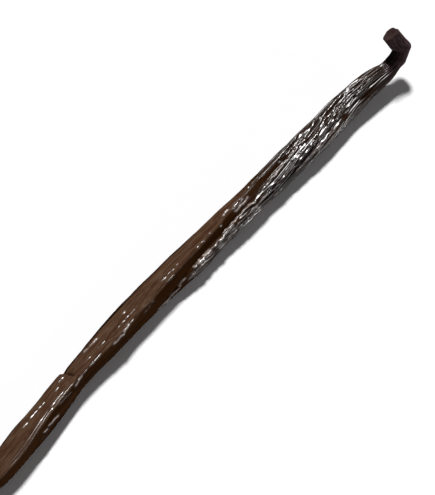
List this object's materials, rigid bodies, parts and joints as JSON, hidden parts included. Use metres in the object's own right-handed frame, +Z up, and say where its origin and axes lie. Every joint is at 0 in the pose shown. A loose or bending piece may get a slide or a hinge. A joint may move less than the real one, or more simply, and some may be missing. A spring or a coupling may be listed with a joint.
{
  "type": "vanilla pod",
  "caption": "Cured vanilla pod lying on its side: long, plump and wrinkled, with a blunt blossom tip, an old crease and a hooked stem end.",
  "frame": {"origin": "on the table, under the middle of the pod's box", "axes": "+X along the pod towards the hooked stem end, +Y across it towards the side that the hook leans to, +Z up"},
  "size_m": [0.1742, 0.0134, 0.0138],
  "materials": {
    "cured_skin": "oily satin, dark brown, with fine lengthwise wrinkles that glint; the cut foot of the stem end is matt and corky"
  },
  "bodies": {
    "root": {"pod": "cured_skin"}
  },
  "joints": []
}
